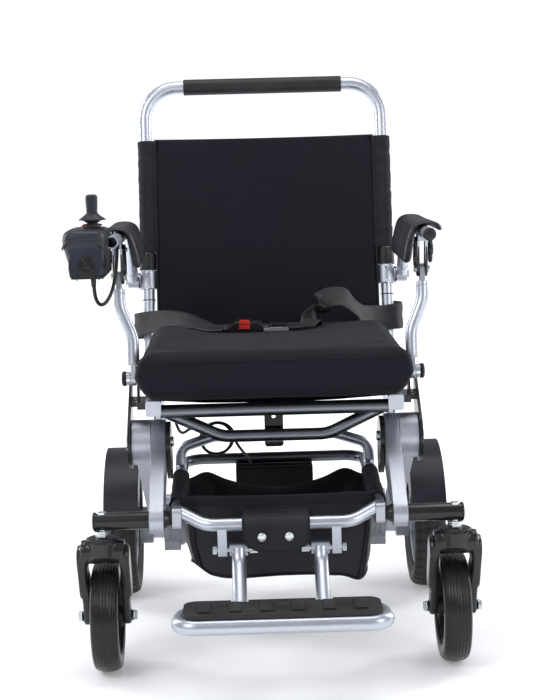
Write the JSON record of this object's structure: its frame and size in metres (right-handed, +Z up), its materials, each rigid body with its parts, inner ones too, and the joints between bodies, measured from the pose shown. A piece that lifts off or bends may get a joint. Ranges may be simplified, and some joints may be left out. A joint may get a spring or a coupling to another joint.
{
  "type": "power wheelchair",
  "caption": "Folding power wheelchair with a reclined fabric backrest, joystick controller, swivel castors, driven rear wheels, flip-up footrest and under-seat bag.",
  "frame": {"origin": "on the floor, under the middle of the chair's bounding box", "axes": "+Z up, the user faces -Y, +X to the user's left"},
  "size_m": [0.636, 0.8792, 0.953],
  "materials": {
    "silver_tube": "satin anodised",
    "silver_steel": "satin",
    "zinc": "bright zinc",
    "black_steel": "satin black paint",
    "grip_foam": "matt foam",
    "seat_fabric": "knitted spacer mesh",
    "sling_fabric": "woven",
    "bag_fabric": "coated nylon",
    "webbing": "woven webbing",
    "black_plastic": "moulded, fine grain",
    "charcoal_plastic": "moulded, fine grain",
    "gloss_plastic": "gloss",
    "red_plastic": "gloss",
    "pad_skin": "skinned foam",
    "tyre_rubber": "matt rubber",
    "castor_rubber": "smooth rubber",
    "rim_plastic": "moulded",
    "motor_grey": "cast",
    "cable_black": "smooth"
  },
  "bodies": {
    "frame": {"seat_rails": "silver_tube", "seat_front_tube": "silver_tube", "seat_lower_tube": "silver_tube", "seat_rear_tube": "silver_tube", "seat_brackets": "black_steel", "seat_sling": "sling_fabric", "seat_cushion": "seat_fabric", "front_legs": "silver_steel", "hub_plates": "black_steel", "pivot_pins": "zinc", "castor_arms": "black_steel", "castor_stems": "zinc", "front_cross_tube": "silver_tube", "rail_clamps": "silver_steel", "bag_rail": "silver_tube", "battery_tube": "black_steel", "battery_box": "black_plastic", "underseat_bag": "bag_fabric", "bag_flap": "bag_fabric", "belt_webbing": "webbing", "belt_buckle": "gloss_plastic", "belt_tongue": "zinc", "under_seat_cable": "cable_black", "cable_coil": "cable_black"},
    "release_lever": {"release_lever": "black_steel"},
    "belt_button": {"belt_button": "red_plastic"},
    "backrest": {"backrest_tube": "silver_tube", "handle_grip": "grip_foam", "backrest_panel": "seat_fabric", "backrest_collars": "black_plastic", "armrest_tees": "silver_steel"},
    "armrest_right": {"armrest_bar_right": "silver_tube", "armrest_pad_right": "pad_skin"},
    "armrest_left": {"armrest_bar_left": "silver_tube", "armrest_pad_left": "pad_skin", "controller_housing": "charcoal_plastic", "joystick_lead": "cable_black"},
    "post_right": {"armrest_post_right": "silver_tube"},
    "post_left": {"armrest_post_left": "silver_tube"},
    "gimbal": {"joystick_gimbal": "black_plastic"},
    "joystick": {"joystick_knob": "black_plastic"},
    "power_button": {"power_button": "red_plastic"},
    "horn_button": {"horn_button": "black_plastic"},
    "speed_button": {"speed_button": "black_plastic"},
    "footrest": {"footrest_frame": "silver_tube", "footrest_mat": "tyre_rubber"},
    "rear_frame": {"rear_legs": "silver_steel", "rear_cross_tube": "silver_tube", "drive_motors": "motor_grey", "fenders": "charcoal_plastic"},
    "rear_wheel_right": {"rear_tyre_right": "tyre_rubber", "rear_rim_right": "silver_steel"},
    "rear_wheel_left": {"rear_tyre_left": "tyre_rubber", "rear_rim_left": "silver_steel"},
    "castor_fork_right": {"castor_fork_right": "black_steel"},
    "castor_fork_left": {"castor_fork_left": "black_steel"},
    "castor_wheel_right": {"castor_tyre_right": "castor_rubber", "castor_rim_right": "rim_plastic"},
    "castor_wheel_left": {"castor_tyre_left": "castor_rubber", "castor_rim_left": "rim_plastic"}
  },
  "joints": [
    {"name": "backrest_fold", "type": "hinge", "parent": "frame", "child": "backrest", "pos_m": [0, 0.3205, 0.412], "axis": [1, 0, 0], "range_deg": [0, 60], "deforming": ["seat_cushion", "belt_webbing", "seat_sling"]},
    {"name": "armrest_right_link", "type": "hinge", "parent": "backrest", "child": "armrest_right", "pos_m": [0, 0.3535, 0.577], "axis": [1, 0, 0], "range_deg": [-60, 0]},
    {"name": "armrest_left_link", "type": "hinge", "parent": "backrest", "child": "armrest_left", "pos_m": [0, 0.3535, 0.577], "axis": [1, 0, 0], "range_deg": [-60, 0]},
    {"name": "post_right_link", "type": "hinge", "parent": "frame", "child": "post_right", "pos_m": [0, -0.0715, 0.452], "axis": [1, 0, 0], "range_deg": [0, 60]},
    {"name": "post_left_link", "type": "hinge", "parent": "frame", "child": "post_left", "pos_m": [0, -0.0715, 0.452], "axis": [1, 0, 0], "range_deg": [0, 60]},
    {"name": "rear_frame_fold", "type": "hinge", "parent": "frame", "child": "rear_frame", "pos_m": [0, -0.0905, 0.349], "axis": [-1, 0, 0], "range_deg": [0, 42]},
    {"name": "rear_wheel_right_spin", "type": "hinge", "parent": "rear_frame", "child": "rear_wheel_right", "pos_m": [0.28, 0.2615, 0.127], "axis": [1, 0, 0], "continuous": true},
    {"name": "rear_wheel_left_spin", "type": "hinge", "parent": "rear_frame", "child": "rear_wheel_left", "pos_m": [-0.28, 0.2615, 0.127], "axis": [1, 0, 0], "continuous": true},
    {"name": "castor_right_swivel", "type": "hinge", "parent": "frame", "child": "castor_fork_right", "pos_m": [0.275, -0.2365, 0.212], "axis": [0, 0, 1], "continuous": true},
    {"name": "castor_left_swivel", "type": "hinge", "parent": "frame", "child": "castor_fork_left", "pos_m": [-0.275, -0.2365, 0.212], "axis": [0, 0, 1], "continuous": true},
    {"name": "castor_right_spin", "type": "hinge", "parent": "castor_fork_right", "child": "castor_wheel_right", "pos_m": [0.275, -0.1915, 0.089], "axis": [1, 0, 0], "continuous": true},
    {"name": "castor_left_spin", "type": "hinge", "parent": "castor_fork_left", "child": "castor_wheel_left", "pos_m": [-0.275, -0.1915, 0.089], "axis": [1, 0, 0], "continuous": true},
    {"name": "footrest_flip", "type": "hinge", "parent": "frame", "child": "footrest", "pos_m": [0, -0.2665, 0.21], "axis": [-1, 0, 0], "range_deg": [0, 80]},
    {"name": "release_lever_turn", "type": "hinge", "parent": "frame", "child": "release_lever", "pos_m": [0, 0.0145, 0.336], "axis": [1, 0, 0], "range_deg": [0, 20], "stiffness_Nm_per_rad": 1, "springref_deg": -11.46},
    {"name": "joystick_pitch", "type": "hinge", "parent": "armrest_left", "child": "gimbal", "pos_m": [-0.275, -0.1965, 0.711], "axis": [1, 0, 0], "range_deg": [-14, 14], "stiffness_Nm_per_rad": 0.3},
    {"name": "joystick_roll", "type": "hinge", "parent": "gimbal", "child": "joystick", "pos_m": [-0.275, -0.1965, 0.711], "axis": [0, 1, 0], "range_deg": [-14, 14], "stiffness_Nm_per_rad": 0.3},
    {"name": "power_button_press", "type": "slide", "parent": "armrest_left", "child": "power_button", "axis": [0, 0, -1], "range_m": [0, 0.0015], "stiffness_N_per_m": 400, "springref_m": -0.0005},
    {"name": "horn_button_press", "type": "slide", "parent": "armrest_left", "child": "horn_button", "axis": [0, 0, -1], "range_m": [0, 0.0015], "stiffness_N_per_m": 400, "springref_m": -0.0005},
    {"name": "speed_button_press", "type": "slide", "parent": "armrest_left", "child": "speed_button", "axis": [0, 0, -1], "range_m": [0, 0.0015], "stiffness_N_per_m": 400, "springref_m": -0.0005},
    {"name": "belt_button_press", "type": "slide", "parent": "frame", "child": "belt_button", "axis": [0, 1, 0], "range_m": [0, 0.0015], "stiffness_N_per_m": 400, "springref_m": -0.0005}
  ],
  "couplings": [
    {"joint": "armrest_right_link", "follows": "backrest_fold", "ratio": -1},
    {"joint": "armrest_left_link", "follows": "backrest_fold", "ratio": -1},
    {"joint": "post_right_link", "follows": "backrest_fold", "ratio": 1},
    {"joint": "post_left_link", "follows": "backrest_fold", "ratio": 1},
    {"joint": "rear_frame_fold", "follows": "backrest_fold", "ratio": 0.7}
  ]
}
